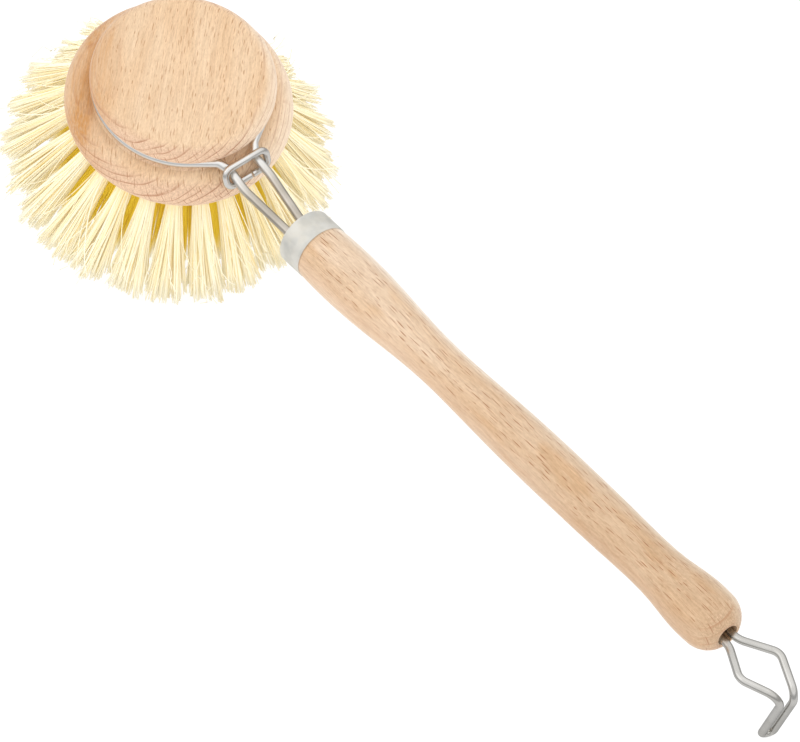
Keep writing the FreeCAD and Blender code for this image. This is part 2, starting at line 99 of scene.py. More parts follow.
class Tree:
    def __init__(self, name):
        self.mat = bpy.data.materials.new(name)
        self.mat.use_nodes = True
        self.t = self.mat.node_tree
        self.t.nodes.clear()
        self.out = self.t.nodes.new("ShaderNodeOutputMaterial")
        self.bsdf = self.t.nodes.new("ShaderNodeBsdfPrincipled")
        self.t.links.new(self.bsdf.outputs[0], self.out.inputs[0])

    def node(self, kind, **props):
        n = self.t.nodes.new(kind)
        for k, v in props.items():
            setattr(n, k, v)
        return n

    def feed(self, socket, value):
        if value is None:
            return
        if hasattr(value, "is_output"):
            self.t.links.new(value, socket)
        else:
            socket.default_value = value

    def math(self, op, a, b=None, c=None, clamp=False):
        n = self.node("ShaderNodeMath", operation=op, use_clamp=clamp)
        for i, v in enumerate((a, b, c)):
            self.feed(n.inputs[i], v)
        return n.outputs[0]

    def vec(self, op, a, b=None):
        n = self.node("ShaderNodeVectorMath", operation=op)
        self.feed(n.inputs[0], a)
        self.feed(n.inputs[1], b)
        return n.outputs["Value"] if op in ("DOT_PRODUCT", "LENGTH", "DISTANCE") else n.outputs["Vector"]

    def join(self, x, y, z):
        n = self.node("ShaderNodeCombineXYZ")
        for i, v in enumerate((x, y, z)):
            self.feed(n.inputs[i], v)
        return n.outputs[0]

    def split(self, v):
        n = self.node("ShaderNodeSeparateXYZ")
        self.feed(n.inputs[0], v)
        return n.outputs

    def smooth(self, x, lo, hi, a=0.0, b=1.0):
        n = self.node("ShaderNodeMapRange", interpolation_type="SMOOTHSTEP", clamp=True)
        self.feed(n.inputs["Value"], x)
        n.inputs["From Min"].default_value = lo
        n.inputs["From Max"].default_value = hi
        n.inputs["To Min"].default_value = a
        n.inputs["To Max"].default_value = b
        return n.outputs["Result"]

    def mix(self, fac, a, b, blend="MIX"):
        n = self.node("ShaderNodeMix", data_type="RGBA", blend_type=blend)
        n.clamp_factor = True
        self.feed(n.inputs[0], fac)
        self.feed(n.inputs[6], a)
        self.feed(n.inputs[7], b)
        return n.outputs[2]

    def noise(self, v, scale=1.0, detail=2.0, rough=0.5, what="Fac"):
        n = self.node("ShaderNodeTexNoise", noise_dimensions="3D")
        self.feed(n.inputs["Vector"], v)
        n.inputs["Scale"].default_value = scale
        n.inputs["Detail"].default_value = detail
        n.inputs["Roughness"].default_value = rough
        return n.outputs[what]

    def bump(self, height, strength, distance):
        n = self.node("ShaderNodeBump")
        n.inputs["Strength"].default_value = strength
        n.inputs["Distance"].default_value = distance
        self.feed(n.inputs["Height"], height)
        self.t.links.new(n.outputs[0], self.bsdf.inputs["Normal"])


# ---------------------------------------------------------------------------
# Beech.  A solid texture in grain coordinates, millimetres: l along the grain,
# rho out from the pith, a round it.
# ---------------------------------------------------------------------------
def beech(name, grain, across, origin, tones, pith, spacing, ray_cell, ray_half, ray_keep, ray_mix, ring_mix, gold, painted_side_light, gain, seam, seed):
    g = Tree(name)
    l_dir = Vector(grain).normalized()
    r_dir = (Vector(across) - l_dir * Vector(across).dot(l_dir)).normalized()
    t_dir = l_dir.cross(r_dir)
    tc = g.node("ShaderNodeTexCoord")
    local = g.vec("SUBTRACT", tc.outputs["Object"], tuple(origin))
    l = g.vec("DOT_PRODUCT", local, tuple(l_dir * 1000.0))
    r0 = g.vec("DOT_PRODUCT", local, tuple(r_dir * 1000.0))
    t0 = g.vec("DOT_PRODUCT", local, tuple(t_dir * 1000.0))

    # slow wander of the grain
    slow = g.noise(g.join(g.math("MULTIPLY_ADD", l, 0.030, seed), g.math("MULTIPLY", r0, 0.08), g.math("MULTIPLY", t0, 0.08)),
                   1.0, 2.0, 0.5, "Color")
    sx, sy, sz = g.split(slow)
    r = g.math("ADD", r0, g.math("MULTIPLY_ADD", sx, 2.6, -1.3))
    t = g.math("ADD", t0, g.math("MULTIPLY_ADD", sy, 2.6, -1.3))
    dr = g.math("SUBTRACT", r, pith[0])
    dt = g.math("SUBTRACT", t, pith[1])
    rho = g.math("SQRT", g.math("ADD", g.math("MULTIPLY", dr, dr), g.math("MULTIPLY", dt, dt)))
    far = math.hypot(pith[0], pith[1])
    out = dr if pith[0] < 0 else g.math("MULTIPLY", dr, -1.0)
    a = g.math("MULTIPLY", g.math("ARCTAN2", dt, out), far)

    # how far the surface is end grain, and how far it looks along the rings
    normal = tc.outputs["Normal"]
    end = g.smooth(g.math("ABSOLUTE", g.vec("DOT_PRODUCT", normal, tuple(l_dir))), 0.34, 0.82)
    round_dir = r_dir * (pith[1] / far) - t_dir * (pith[0] / far)
    facing = g.math("ABSOLUTE", g.vec("DOT_PRODUCT", normal, tuple(round_dir)))
    quarter = g.smooth(facing, 0.45, 0.95)

    # growth rings: a thin late line each, uneven in width and broken in places
    uneven = g.noise(g.join(g.math("MULTIPLY", rho, 0.15), seed + 3.1, 0.0), 1.0, 1.0, 0.5)
    ring = g.math("FRACT", g.math("MULTIPLY_ADD", rho, 1.0 / spacing, g.math("MULTIPLY", uneven, 2.6)))
    late = g.math("POWER", ring, 2.5)
    edge = g.math("MULTIPLY", g.smooth(ring, 0.76, 0.94), g.smooth(ring, 0.955, 1.0, 1.0, 0.0))
    broken = g.smooth(g.noise(g.join(g.math("MULTIPLY", l, 0.22), g.math("MULTIPLY", rho, 0.5), g.math("MULTIPLY", a, 0.22)), 1.0, 2.0, 0.55), 0.34, 0.56, 0.25, 1.0)

    # medullary rays: thin spindles, long out from the pith, short along the grain
    def rays(cell, half, keep, shift):
        point = g.join(g.math("MULTIPLY_ADD", l, 1.0 / cell[0], shift), g.math("MULTIPLY_ADD", rho, 1.0 / cell[1], shift * 0.7), g.math("MULTIPLY_ADD", a, 1.0 / cell[2], shift * 1.3))
        v = g.node("ShaderNodeTexVoronoi", voronoi_dimensions="3D", feature="F1")
        g.feed(v.inputs["Vector"], point)
        v.inputs["Scale"].default_value = 1.0
        v.inputs["Randomness"].default_value = 1.0
        cx, cy, cz = g.split(v.outputs["Color"])
        ax, ay, az = g.split(g.vec("SUBTRACT", point, v.outputs["Position"]))
        ax = g.math("DIVIDE", ax, g.math("MULTIPLY_ADD", cy, half[0] / cell[0] * 1.1, half[0] / cell[0] * 0.45))
        ay = g.math("MULTIPLY", ay, cell[1] / half[1])
        az = g.math("DIVIDE", az, g.math("MULTIPLY_ADD", cz, half[2] / cell[2] * 0.9, half[2] / cell[2] * 0.55))
        inside = g.smooth(g.vec("LENGTH", g.join(ax, az, 0.0)), 0.40, 1.0, 1.0, 0.0)
        inside = g.math("MULTIPLY", inside, g.smooth(g.math("ABSOLUTE", ay), 0.70, 1.0, 1.0, 0.0))
        return g.math("MULTIPLY", inside, g.smooth(cx, 1.0 - keep, 1.5 - keep, 0.15, 1.0))

    big = rays(ray_cell, ray_half, ray_keep, seed * 2.3)
    fleck = rays((ray_cell[0] * 0.62, ray_cell[1] * 0.6, ray_cell[2] * 0.52), (ray_half[0] * 0.62, ray_half[1] * 0.6, ray_half[2] * 0.7), 0.9, seed * 1.7 + 5.0)

    # fine fibres along the grain, pores, and slow changes of tone
    streak = g.noise(g.join(g.math("MULTIPLY", l, 0.09), g.math("MULTIPLY", rho, 1.9), g.math("MULTIPLY", a, 1.9)), 1.0, 3.0, 0.60)
    fine = g.noise(g.join(g.math("MULTIPLY", l, 0.45), g.math("MULTIPLY", rho, 3.6), g.math("MULTIPLY", a, 3.6)), 1.0, 2.0, 0.6)
    pore = g.noise(g.join(g.math("MULTIPLY", l, 1.5), g.math("MULTIPLY", rho, 3.2), g.math("MULTIPLY", a, 3.2)), 1.0, 2.0, 0.7)
    tone = g.noise(g.join(g.math("MULTIPLY_ADD", l, 0.030, seed + 9.0), g.math("MULTIPLY", rho, 0.17), g.math("MULTIPLY", a, 0.17)), 1.0, 2.0, 0.5)

    colour = g.mix(g.smooth(tone, 0.34, 0.66), tones["pale"], tones["warm"])
    colour = g.mix(g.math("MULTIPLY", end, 0.75), colour, tones["end"])
    colour = g.mix(g.math("MULTIPLY", late, g.math("MULTIPLY_ADD", end, 0.12, g.math("MULTIPLY_ADD", quarter, 0.06, 0.05))), colour, tones["line"])
    # a golden side to the block
    if gold is not None:
        side = g.math("MULTIPLY", g.smooth(t0, gold[0], gold[1]), g.math("MULTIPLY", g.smooth(streak, 0.34, 0.62, 0.5, 1.0), g.smooth(tone, 0.36, 0.60, 0.55, 1.0)))
        colour = g.mix(g.math("MULTIPLY", side, gold[2]), colour, tones["gold"])
    # warm patches along the grain; then painted light and shade: the sides that face given directions are made paler or
    # darker
    if "patch" in tones:
        patch = g.noise(g.join(g.math("MULTIPLY_ADD", l, 0.060, seed + 21.0), g.math("MULTIPLY", rho, 0.22), g.math("MULTIPLY", a, 0.24)), 1.0, 2.0, 0.5)
        colour = g.mix(g.smooth(patch, 0.50, 0.68, 0.0, 0.55), colour, tones["patch"])
    # painted light and shade: each entry mixes a paler or darker tone into the sides that face its direction
    for toward, lo, hi, painted_side_tone, much in painted_side_light:
        painted_side_mask = g.smooth(g.math("ADD", g.vec("DOT_PRODUCT", normal, toward), g.math("MULTIPLY_ADD", streak, 0.24, -0.12)), lo, hi)
        colour = g.mix(g.math("MULTIPLY", painted_side_mask, much), colour, painted_side_tone)
    shade = g.math("ADD", g.math("MULTIPLY_ADD", streak, 0.42, 0.79), g.math("MULTIPLY_ADD", fine, 0.38, -0.19))
    if seam is not None:
        shade = g.math("MULTIPLY", shade, g.smooth(l, seam[0], seam[1], seam[2], 1.0))
    shade = g.math("ADD", shade, g.math("MULTIPLY", g.math("SUBTRACT", pore, 0.5), g.math("MULTIPLY_ADD", end, 0.34, 0.26)))
    warmer = g.join(shade, g.math("POWER", shade, 1.2), g.math("POWER", shade, 1.45))
    colour = g.vec("MULTIPLY", colour, warmer)
    # the colour grows darker towards the rear along the grain
    if gain is not None:
        colour = g.mix(g.smooth(l, gain[0], gain[1]), colour, gain[2], "MULTIPLY")
    line_mix = g.math("MULTIPLY_ADD", end, ring_mix[0], g.math("MULTIPLY_ADD", quarter, ring_mix[1], 0.03))
    if gold is not None:
        line_mix = g.math("MULTIPLY_ADD", side, 0.50, line_mix)
    colour = g.mix(g.math("MULTIPLY", g.math("MULTIPLY", edge, broken), line_mix), colour, tones["line"])
    tick = g.mix(end, tones["tick"], tones["ray"])
    big = g.math("MULTIPLY", big, g.smooth(facing, 0.62, 0.92, 1.0, 0.12))
    fleck = g.math("MULTIPLY", fleck, g.smooth(facing, 0.62, 0.92, 1.0, 0.30))
    colour = g.mix(g.math("MULTIPLY", fleck, g.math("MULTIPLY_ADD", end, 0.25, ray_mix[1])), colour, tick)
    colour = g.mix(g.math("MULTIPLY", big, g.math("MULTIPLY_ADD", end, 0.15, ray_mix[0])), colour, tick)
    g.feed(g.bsdf.inputs["Base Color"], colour)

    rough = g.math("MULTIPLY_ADD", fine, 0.12, 0.50)
    g.feed(g.bsdf.inputs["Roughness"], g.math("ADD", rough, g.math("MULTIPLY", big, 0.10)))
    g.bsdf.inputs["Specular IOR Level"].default_value = 0.50
    g.bsdf.inputs["Sheen Weight"].default_value = 0.40
    g.bsdf.inputs["Sheen Roughness"].default_value = 0.40
    g.bsdf.inputs["Sheen Tint"].default_value = (1.0, 0.98, 0.95, 1.0)
    height = g.math("ADD", g.math("MULTIPLY", streak, 0.45), g.math("MULTIPLY", pore, 0.30))
    height = g.math("SUBTRACT", height, g.math("MULTIPLY", big, 0.45))
    g.bump(height, 0.45, 0.00005)
    return g.mat


HEAD_AT = tuple(float(c) for c in SHIFT * MM)
# the side entry of the head wood paints light: the side facing +X+Y is made paler
head_wood = beech(
    "beech_head", head_dir(0.71, -0.70, 0.0), head_dir(-0.10, -0.10, 0.985), HEAD_AT,
    {"pale": lin(250, 217, 179), "warm": lin(245, 207, 165), "end": lin(237, 199, 168), "line": lin(188, 129, 94),
     "tick": lin(196, 143, 98), "ray": lin(188, 130, 96), "gold": lin(208, 142, 66)},
    pith=(72.0, 26.0), spacing=1.65, ray_cell=(2.5, 3.8, 1.0), ray_half=(1.1, 1.9, 0.10), ray_keep=0.88,
    ray_mix=(0.80, 0.40), ring_mix=(0.80, 0.45), gold=(10.0, 20.5, 0.90), painted_side_light=[((0.62, 0.78, 0.0), 0.30, 0.85, lin(252, 228, 200), 0.75)], gain=None, seam=None, seed=2.0)

HANDLE_AT = (-0.034115, 0.0, 0.027446)
HANDLE_AXIS = (0.9989886, 0.0, -0.0449637)
# the side entries of the handle wood paint light and shade: the +Y side is made paler, palest at its edge, and the low
# -Y edge darker and redder
handle_wood = beech(
    "beech_handle", HANDLE_AXIS, (0.20, -0.35, 0.90), HANDLE_AT,
    {"pale": lin(243, 214, 183), "warm": lin(235, 200, 163), "end": lin(232, 200, 167), "line": lin(202, 152, 114),
     "tick": lin(174, 110, 66), "ray": lin(188, 134, 100), "patch": lin(228, 184, 136)},
    pith=(-46.0, 9.0), spacing=2.1, ray_cell=(3.3, 3.0, 0.72), ray_half=(1.70, 1.4, 0.073), ray_keep=0.86,
    ray_mix=(1.0, 0.34), ring_mix=(0.80, 0.14), gold=None, painted_side_light=[((0.0, 1.0, 0.0), 0.05, 0.55, lin(237, 212, 184), 0.75), ((0.0, 1.0, 0.0), 0.45, 0.85, lin(255, 240, 221), 0.90), ((0.0, -1.0, 0.0), 0.74, 0.98, lin(228, 194, 163), 0.45)],
    gain=(28.0, 120.0, (0.84, 0.78, 0.70, 1.0)), seam=(6.3, 6.9, 0.70), seed=7.0)


# ---------------------------------------------------------------------------
# Metals
# ---------------------------------------------------------------------------
def drawn_wire(name, base, dull, rough, spread, edge, ring=None):
    """Satin drawn wire: slow dull patches and a few scuffs, duller at its edges; it can carry painted light, a brighter
    colour on the ring at the front.
    """
    g = Tree(name)
    tc = g.node("ShaderNodeTexCoord")
    p = g.vec("MULTIPLY", tc.outputs["Object"], (1000.0, 1000.0, 1000.0))
    patch = g.noise(p, 0.16, 2.0, 0.5)
    scuff = g.smooth(g.noise(p, 0.7, 3.0, 0.6), 0.62, 0.80)
    colour = g.mix(g.smooth(patch, 0.34, 0.68), base, dull)
    colour = g.mix(g.math("MULTIPLY", scuff, 0.20), colour, dull)
    # painted light: the ring at the front is made brighter than the arms
    if ring is not None:
        colour = g.mix(g.smooth(g.split(p)[0], ring[0], ring[1], 1.0, 0.0), colour, ring[2])
    g.feed(g.bsdf.inputs["Base Color"], colour)
    g.bsdf.inputs["Metallic"].default_value = 1.0
    g.bsdf.inputs["Specular Tint"].default_value = (edge, edge, edge, 1.0)
    r = g.math("MULTIPLY_ADD", patch, spread, rough - spread * 0.5)
    g.feed(g.bsdf.inputs["Roughness"], g.math("ADD", r, g.math("MULTIPLY", scuff, 0.06)))
    return g.mat


# the last colour is painted light on the ring of the holder
spring_steel = drawn_wire("spring_wire", lin(205, 197, 186), lin(188, 180, 168), 0.30, 0.10, 0.60, (-56.0, -47.0, lin(246, 245, 242)))
link_steel = drawn_wire("link_wire", lin(234, 232, 228), lin(216, 213, 208), 0.22, 0.06, 0.60)
hook_steel = drawn_wire("hook_wire", lin(216, 214, 210), lin(204, 202, 197), 0.22, 0.06, 0.60)
anchor_steel = drawn_wire("anchor_wire", lin(196, 194, 188), lin(170, 168, 160), 0.38, 0.12, 0.6)


def tinned_sheet(name):
    """Matt tinned sheet: cloudy mottling, faint crystal patches, fine rub marks."""
    g = Tree(name)
    tc = g.node("ShaderNodeTexCoord")
    p = g.vec("MULTIPLY", tc.outputs["Object"], (1000.0, 1000.0, 1000.0))
    cloud = g.noise(p, 0.26, 2.0, 0.5)
    fine = g.noise(p, 3.2, 4.0, 0.6)
    v = g.node("ShaderNodeTexVoronoi", voronoi_dimensions="3D", feature="SMOOTH_F1")
    g.feed(v.inputs["Vector"], p)
    v.inputs["Scale"].default_value = 0.45
    v.inputs["Smoothness"].default_value = 0.6
    vx, vy, vz = g.split(v.outputs["Color"])
    colour = g.mix(g.smooth(cloud, 0.34, 0.66), lin(233, 231, 224), lin(210, 210, 205))
    colour = g.mix(g.math("MULTIPLY", vx, 0.34), colour, lin(224, 216, 198))
    colour = g.mix(g.smooth(fine, 0.55, 0.80, 0.0, 0.10), colour, lin(202, 200, 194))
    g.feed(g.bsdf.inputs["Base Color"], colour)
    g.bsdf.inputs["Metallic"].default_value = 0.5
    r = g.math("ADD", g.math("MULTIPLY_ADD", cloud, 0.08, 0.46), g.math("MULTIPLY_ADD", fine, 0.06, -0.03))
    g.feed(g.bsdf.inputs["Roughness"], r)
    g.bump(g.math("ADD", fine, g.math("MULTIPLY", vy, 0.3)), 0.10, 0.00002)
    return g.mat


ferrule_tin = tinned_sheet("ferrule_sheet")


# ---------------------------------------------------------------------------
# Plant fibre
# ---------------------------------------------------------------------------
def plant_fibre(name, root, root_mix, root_from, root_reach, painted_deep_shade):
    g = Tree(name)
    a = g.node("ShaderNodeAttribute", attribute_name="fibre_pick")
    b = g.node("ShaderNodeAttribute", attribute_name="fibre_along")
    c = g.node("ShaderNodeAttribute", attribute_name="fibre_deep")
    pick, along, deep = a.outputs["Fac"], b.outputs["Fac"], c.outputs["Fac"]
    tc = g.node("ShaderNodeTexCoord")
    p = g.vec("MULTIPLY", tc.outputs["Object"], (1000.0, 1000.0, 1000.0))
    fleck = g.noise(p, 0.9, 3.0, 0.6)
    ramp = g.node("ShaderNodeValToRGB")
    ramp.color_ramp.interpolation = "LINEAR"
    stops = [(0.0, lin(239, 217, 152)), (0.2, lin(246, 233, 192)), (0.5, lin(248, 240, 210)),
             (0.88, lin(250, 245, 224)), (1.0, lin(243, 223, 166))]
    while len(ramp.color_ramp.elements) < len(stops):
        ramp.color_ramp.elements.new(0.5)
    for element, (at, colour) in zip(ramp.color_ramp.elements, stops):
        element.position = at
        element.color = colour
    g.feed(ramp.inputs[0], pick)
    colour = g.mix(g.smooth(along, 0.55, 1.0, 0.0, 0.35), ramp.outputs[0], lin(253, 249, 234))
    # painted shade: fibres deep inside a bundle are made darker and golden, mostly towards the root
    inner = g.math("MULTIPLY", g.smooth(deep, 0.06, 0.34, 0.0, painted_deep_shade), g.smooth(along, 0.45, 0.98, 1.0, 0.10))
    colour = g.mix(inner, colour, lin(226, 192, 96))
    # golden roots: on the outer ring partly the fibre's own colour, on the inner rings painted shade for the gaps
    # between the bundles
    colour = g.mix(g.smooth(along, root_from, root_reach, root_mix, 0.0), colour, root)
    colour = g.mix(g.smooth(fleck, 0.60, 0.78, 0.0, 0.18), colour, lin(238, 212, 140))
    g.feed(g.bsdf.inputs["Base Color"], colour)
    g.feed(g.bsdf.inputs["Roughness"], g.math("MULTIPLY_ADD", fleck, 0.2, 0.45))
    g.bsdf.inputs["Specular IOR Level"].default_value = 0.30
    return g.mat


# outer ring: a mild golden root and painted shade deep in each bundle; inner rings: golden up to 70% of the length,
# fading to the tip, as painted shade for the gaps
fibre_front = plant_fibre("plant_fibre_outer", lin(238, 206, 118), 0.35, 0.0, 0.35, 0.36)
fibre_back = plant_fibre("plant_fibre_inner", lin(238, 212, 72), 1.0, 0.70, 1.0, 0.0)


def tube_set(path, rad, ref, pick, deep, stations, sides, turn):
    """Closed tapering tubes along many paths: corner points, faces and a map cell each."""
    many, steps = path.shape[:2]
    tan = np.gradient(path, axis=1)
    tan /= np.linalg.norm(tan, axis=2, keepdims=True)
    n1 = ref[:, None, :] - tan * (tan * ref[:, None, :]).sum(2, keepdims=True)
    n1 /= np.linalg.norm(n1, axis=2, keepdims=True)
    n2 = np.cross(tan, n1)
    taper = np.interp(stations, [0, 0.3, 0.8, 1.0], [1.0, 1.0, 0.92, 0.72])
    corner = turn[:, None] + np.arange(sides)[None, :] * (2 * math.pi / sides)
    ring = (n1[:, :, None, :] * np.cos(corner)[:, None, :, None] + n2[:, :, None, :] * np.sin(corner)[:, None, :, None])
    verts = path[:, :, None, :] + ring * (rad[:, None] * taper[None, :])[:, :, None, None]
    base = (np.arange(many) * steps * sides)[:, None, None]
    j = np.arange(steps - 1)[None, :, None] * sides
    c = np.arange(sides)[None, None, :]
    c2 = (np.arange(sides) + 1)[None, None, :] % sides
    quads = np.stack([base + j + c, base + j + c2, base + j + sides + c2, base + j + sides + c], -1).reshape(-1, 4)
    flat = np.arange(sides)
    tips = base[:, 0] + (steps - 1) * sides + flat[None, :]
    roots = base[:, 0] + flat[None, ::-1]
    faces = np.concatenate([quads, tips, roots])
    owner = np.concatenate([np.repeat(np.arange(many), (steps - 1) * sides), np.arange(many), np.arange(many)])
    jj = np.tile(np.repeat(np.arange(steps - 1), sides), many)
    cc = np.tile(np.tile(np.arange(sides), steps - 1), many)
    uv = np.zeros((len(faces), 4, 2))
    q, top = len(quads), steps - 1.0
    uv[:q, 0] = np.stack([cc / sides, jj / top], 1)
    uv[:q, 1] = np.stack([(cc + 1) / sides, jj / top], 1)
    uv[:q, 2] = np.stack([(cc + 1) / sides, (jj + 1) / top], 1)
    uv[:q, 3] = np.stack([cc / sides, (jj + 1) / top], 1)
    uv[:q, :, 1] = uv[:q, :, 1] * 0.9 + 0.05
    square = np.array([[0, 0], [1, 0], [1, 1], [0, 1]], float)
    uv[q:q + many] = square * np.array([0.9, 0.04]) + np.array([0.05, 0.96])
    uv[q + many:] = square * np.array([0.9, 0.04])
    return (verts.reshape(-1, 3), faces, owner, uv, np.repeat(pick, steps * sides), np.repeat(deep, steps * sides), np.tile(np.repeat(stations, sides), many), many)


def fibre_mesh(name, sets, material):
    """One mesh from several sets of tubes, with a map cell for each fibre."""
    total = sum(s[7] for s in sets)
    cols = int(math.ceil(math.sqrt(total * 2.0)))
    rows = int(math.ceil(total / cols))
    cell_u, cell_v = 1.0 / cols, 1.0 / rows
    verts, faces, uvs, picks, deeps, alongs = [], [], [], [], [], []
    v_at, f_at = 0, 0
    for v, f, owner, uv, pick, deep, along, many in sets:
        number = owner + f_at
        uv = uv.copy()
        uv[:, :, 0] = (uv[:, :, 0] * 0.8 + 0.1) * cell_u + ((number % cols) * cell_u)[:, None]
        uv[:, :, 1] = (uv[:, :, 1] * 0.8 + 0.1) * cell_v + ((number // cols) * cell_v)[:, None]
        verts.append(v)
        faces.append(f + v_at)
        uvs.append(uv)
        picks.append(pick)
        deeps.append(deep)
        alongs.append(along)
        v_at += len(v)
        f_at += many
    verts = head_to_row(np.concatenate(verts))
    faces = np.concatenate(faces).astype(np.int32)
    mesh = bpy.data.meshes.new(name)
    mesh.vertices.add(len(verts))
    mesh.vertices.foreach_set("co", verts.astype(np.float32).ravel())
    mesh.loops.add(faces.size)
    mesh.loops.foreach_set("vertex_index", faces.ravel())
    mesh.polygons.add(len(faces))
    mesh.polygons.foreach_set("loop_start", np.arange(0, faces.size, 4, dtype=np.int32))
    mesh.update(calc_edges=True)
    mesh.validate()
    mesh.polygons.foreach_set("use_smooth", np.ones(len(mesh.polygons), bool))
    mesh.attributes.new("fibre_pick", "FLOAT", "POINT").data.foreach_set("value", np.concatenate(picks).astype(np.float32))
    mesh.attributes.new("fibre_deep", "FLOAT", "POINT").data.foreach_set("value", np.concatenate(deeps).astype(np.float32))
    mesh.attributes.new("fibre_along", "FLOAT", "POINT").data.foreach_set("value", np.concatenate(alongs).astype(np.float32))
    layer = mesh.uv_layers.new(name="OFBake")
    layer.data.foreach_set("uv", np.concatenate(uvs).astype(np.float32).ravel())
    obj = bpy.data.objects.new(name, mesh)
    scene.collection.objects.link(obj)
    mesh.materials.append(material)
    return obj


def bundle_fibres(rng, phi, r0, z0, splay, length, tip_a, tip_b, per, flare, fan):
    """Paths of one bundle's fibres: a plain set and a few long strays, in the head frame."""
    th = math.radians(splay)
    cp, sp = math.cos(phi), math.sin(phi)
    root = np.array([r0 * cp, r0 * sp, z0])
    d = np.array([math.sin(th) * cp, math.sin(th) * sp, -math.cos(th)])
    e1 = np.array([math.cos(th) * cp, math.cos(th) * sp, math.sin(th)])
    e2 = np.array([-sp, cp, 0.0])
    i = np.arange(per) + 0.5
    rr = np.sqrt(i / per)
    ang = i * 2.399963 + rng.uniform(0, 2 * math.pi)
    u = np.stack([rr * np.cos(ang), rr * np.sin(ang)], 1)
    u += rng.normal(0, 0.03, u.shape)
    start = u * 1.50
    # wisps: fibres that stick together towards their tips
    wisps = 15
    w = np.arange(wisps) + 0.5
    wr, wa = np.sqrt(w / wisps) * 0.95, w * 2.399963 + rng.uniform(0, 2 * math.pi)
    centre = np.stack([wr * np.cos(wa), wr * np.sin(wa)], 1) + rng.normal(0, 0.07, (wisps, 2))
    near = np.argmin(((u[:, None, :] - centre[None]) ** 2).sum(2), 1)
    pull = rng.uniform(0.15, 0.58, wisps)[near][:, None]
    size = np.array([tip_a, tip_b]) * (1.0 + rng.normal(0, 0.04))
    tip = u * size * (1 + rng.normal(0, 0.06, (per, 1)))
    tip = tip * (1 - pull) + centre[near] * size * 1.05 * pull
    tip += rng.normal(0, 0.09, tip.shape)
    lean = rng.normal(0, 0.40, 2)
    bend = rng.normal(0, 0.13, (per, 2)) + lean + rng.normal(0, 0.28, (wisps, 2))[near]
    bend[:, 0] += flare
    long = length + rng.normal(0, 0.30) + rng.normal(0, 0.70, wisps)[near] + rng.normal(0, 0.32, per)
    long = np.where(rng.random(per) < 0.10, long - rng.uniform(0.8, 3.0, per), long)
    wave = rng.normal(0, 0.06, (per, 2))
    phase = rng.uniform(0, 2 * math.pi, per)
    stations = np.array([0.0, 0.10, 0.27, 0.46, 0.65, 0.84, 1.0])
    s = -2.2 + stations[None, :] * (long[:, None] + 2.2)
    f = np.clip(s, 0, None) / long[:, None]
    off = start[:, None, :] + (tip - start)[:, None, :] * (f ** fan)[:, :, None] + bend[:, None, :] * (f ** 2.2)[:, :, None]
    off += wave[:, None, :] * (np.sin(f * 5.0 + phase[:, None]) * f)[:, :, None]
    path = root + s[:, :, None] * d + off[:, :, :1] * e1 + off[:, :, 1:] * e2
    rad = rng.uniform(0.125, 0.205, per)
    pick = np.clip(rng.beta(1.5, 1.5, per) + rng.normal(0, 0.05), 0.0, 1.0)
    ref = np.repeat(e2[None], per, 0)

    # strays: thinner fibres that leave the bundle, some of them curled at the end
    many = int(rng.integers(6, 11))
    fine = np.linspace(0.0, 1.0, 19)
    su = np.stack([rng.uniform(0.1, 1.0, many), rng.uniform(-0.9, 0.9, many)], 1)
    goes = np.stack([rng.normal(0.6, 1.6, many), rng.normal(0, 4.0, many)], 1)
    reach = length * rng.uniform(0.80, 1.10, many)
    curl = np.where(rng.random(many) < 0.30, rng.uniform(0.5, 1.3, many), rng.uniform(0.0, 0.22, many))
    turns = rng.uniform(1.0, 2.0, many)
    where = rng.uniform(0, 2 * math.pi, many)
    s2 = -2.2 + fine[None, :] * (reach[:, None] + 2.2)
    f2 = np.clip(s2, 0, None) / reach[:, None]
    grow = np.clip((f2 - 0.60) / 0.40, 0, 1) ** 1.5
    spin = where[:, None] + grow * turns[:, None] * 2 * math.pi
    off2 = su[:, None, :] * (1.50 + (np.array([tip_a, tip_b]) - 1.50)[None, None, :] * f2[:, :, None]) + goes[:, None, :] * (f2 ** 2.4)[:, :, None]
    off2 += curl[:, None, None] * grow[:, :, None] * np.stack([np.cos(spin), np.sin(spin)], -1)
    back = curl[:, None] * grow * 1.6 * np.sin(spin * 0.7)
    path2 = root + (s2 - back)[:, :, None] * d + off2[:, :, :1] * e1 + off2[:, :, 1:] * e2
    rad2 = rng.uniform(0.095, 0.14, many)
    pick2 = rng.uniform(0.45, 0.95, many)
    ref2 = np.repeat(np.array([[0.31, 0.55, 0.77]]), many, 0)
    return (path, rad, ref, pick, 1.0 - rr, stations), (path2, rad2, ref2, pick2, np.zeros(many), fine)


def above_floor(path):
    """Shorten each fibre that would reach under the surface that the brush lies on."""
    for _ in range(4):
        z = head_to_row(path)[:, :, 2] / MM
        low = z.min(1) < 0.35
        if not low.any():
            break
        top = z[low][:, 0]
        cut = (top - 0.45) / (top - z[low].min(1))
        path[low] = path[low][:, :1, :] + (path[low] - path[low][:, :1, :]) * np.clip(cut, 0.3, 1.0)[:, None, None]
    return path


def fibre_ring(name, r0, z0, splay, length, tip_a, tip_b, count, first, last, per, seed, flare, fan, material):
    """The bundles first..last of one ring as one mesh of fibres."""
    plain, stray = [], []
    for k in range(first, last):
        rng = np.random.default_rng(seed * 1000 + k)
        one, two = bundle_fibres(rng, math.radians(7.5) + 2 * math.pi * k / count, r0, z0, splay, length, tip_a, tip_b, per, flare, fan)
        plain.append(one)
        stray.append(two)
    sets = []
    for group, sides in ((plain, 4), (stray, 4)):
        path = above_floor(np.concatenate([x[0] for x in group]))
        rad = np.concatenate([x[1] for x in group])
        ref = np.concatenate([x[2] for x in group])
        pick = np.concatenate([x[3] for x in group])
        turn = np.random.default_rng(seed + 50).uniform(0, 2 * math.pi, len(path))
        deep = np.concatenate([x[4] for x in group])
        sets.append(tube_set(path, rad, ref, pick, deep, group[0][5], sides, turn))
    return fibre_mesh(name, sets, material)


